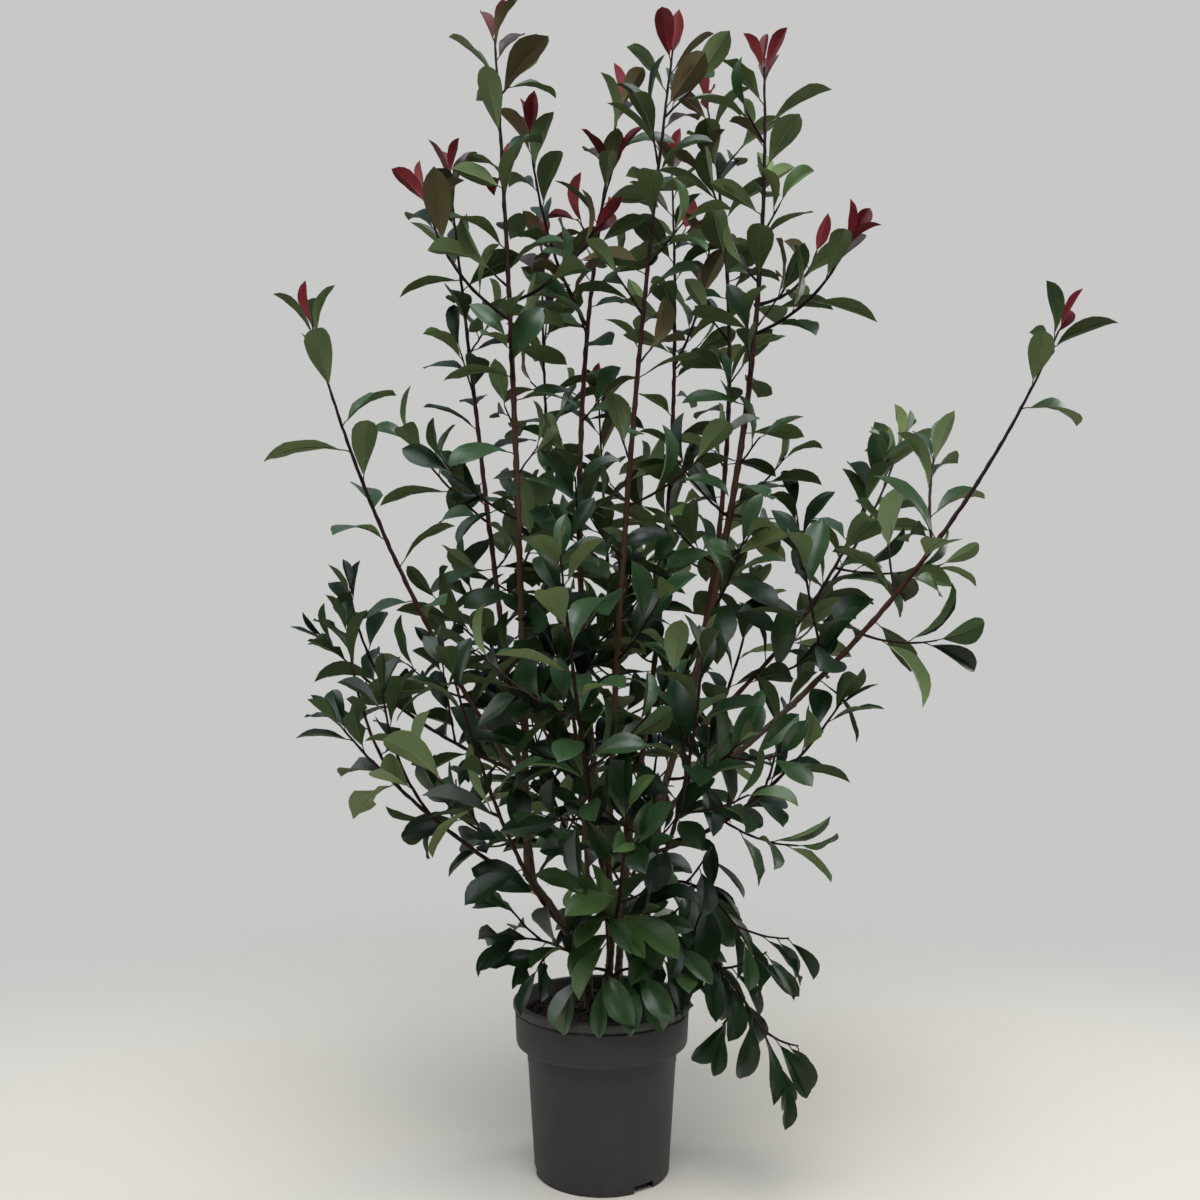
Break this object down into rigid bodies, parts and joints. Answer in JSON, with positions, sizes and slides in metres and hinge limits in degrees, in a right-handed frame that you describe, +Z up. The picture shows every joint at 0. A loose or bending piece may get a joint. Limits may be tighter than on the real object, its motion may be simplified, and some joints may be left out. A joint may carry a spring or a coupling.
{
  "type": "potted photinia shrub",
  "caption": "Tall loose evergreen photinia shrub with several slender upright canes, glossy green leaves and red young tips, growing in a round plastic nursery pot.",
  "frame": {"origin": "centre of the outer pot's flat underside, on the ground", "axes": "+Z up, the front faces -Y, +X to the right seen from the front"},
  "size_m": [1.2905, 0.7346, 1.8044],
  "materials": {
    "pot_plastic": "dark taupe grey moulded polypropylene, matt with fine scuffs",
    "lip_plastic": "dark taupe grey moulded polypropylene, a little lighter at the lip",
    "compost": "moist dark compost with bark pieces",
    "old_bark": "brown ridged bark with pale pores",
    "young_bark": "smooth maroon bark",
    "leaf_green": "glossy leathery leaf, dark green above, yellow green below, red and bronze at the tips"
  },
  "bodies": {
    "root": {"outer_pot": "pot_plastic", "inner_pot": "lip_plastic", "soil": "compost", "stem_back": "old_bark", "stem_front": "old_bark", "stem_left": "old_bark", "stem_middle": "old_bark", "stem_right": "old_bark", "stem_slim": "old_bark", "bough_back_far_right": "young_bark", "bough_back_left": "young_bark", "bough_back_middle": "young_bark", "bough_back_right": "young_bark", "bough_far_left": "young_bark", "bough_far_right": "young_bark", "bough_front_left": "young_bark", "bough_front_middle": "young_bark", "bough_front_right": "young_bark", "bough_inner_right": "young_bark", "bough_left_leader": "young_bark", "bough_low_right": "young_bark", "bough_lowest_left": "young_bark", "bough_mid_right": "young_bark", "bough_middle_left": "young_bark", "bough_middle_right": "young_bark", "bough_right_leader": "young_bark", "bough_tall_left": "young_bark", "foliage_back_far_right": "leaf_green", "foliage_back_left": "leaf_green", "foliage_back_low": "leaf_green", "foliage_back_low_left": "leaf_green", "foliage_back_middle": "leaf_green", "foliage_back_right": "leaf_green", "foliage_far_left": "leaf_green", "foliage_far_right": "leaf_green", "foliage_front_left": "leaf_green", "foliage_front_low": "leaf_green", "foliage_front_middle": "leaf_green", "foliage_front_right": "leaf_green", "foliage_hanging_right_lower": "leaf_green", "foliage_hanging_right_upper": "leaf_green", "foliage_inner_right": "leaf_green", "foliage_left_leader": "leaf_green", "foliage_low_left": "leaf_green", "foliage_low_right": "leaf_green", "foliage_lowest_left": "leaf_green", "foliage_mid_right": "leaf_green", "foliage_middle_left": "leaf_green", "foliage_middle_right": "leaf_green", "foliage_right_leader": "leaf_green", "foliage_rim_front": "leaf_green", "foliage_rim_left": "leaf_green", "foliage_rim_right": "leaf_green", "foliage_spray_back": "leaf_green", "foliage_spray_left": "leaf_green", "foliage_spray_middle": "leaf_green", "foliage_spray_right": "leaf_green", "foliage_tall_left": "leaf_green", "foliage_thin_back": "leaf_green"}
  },
  "joints": []
}
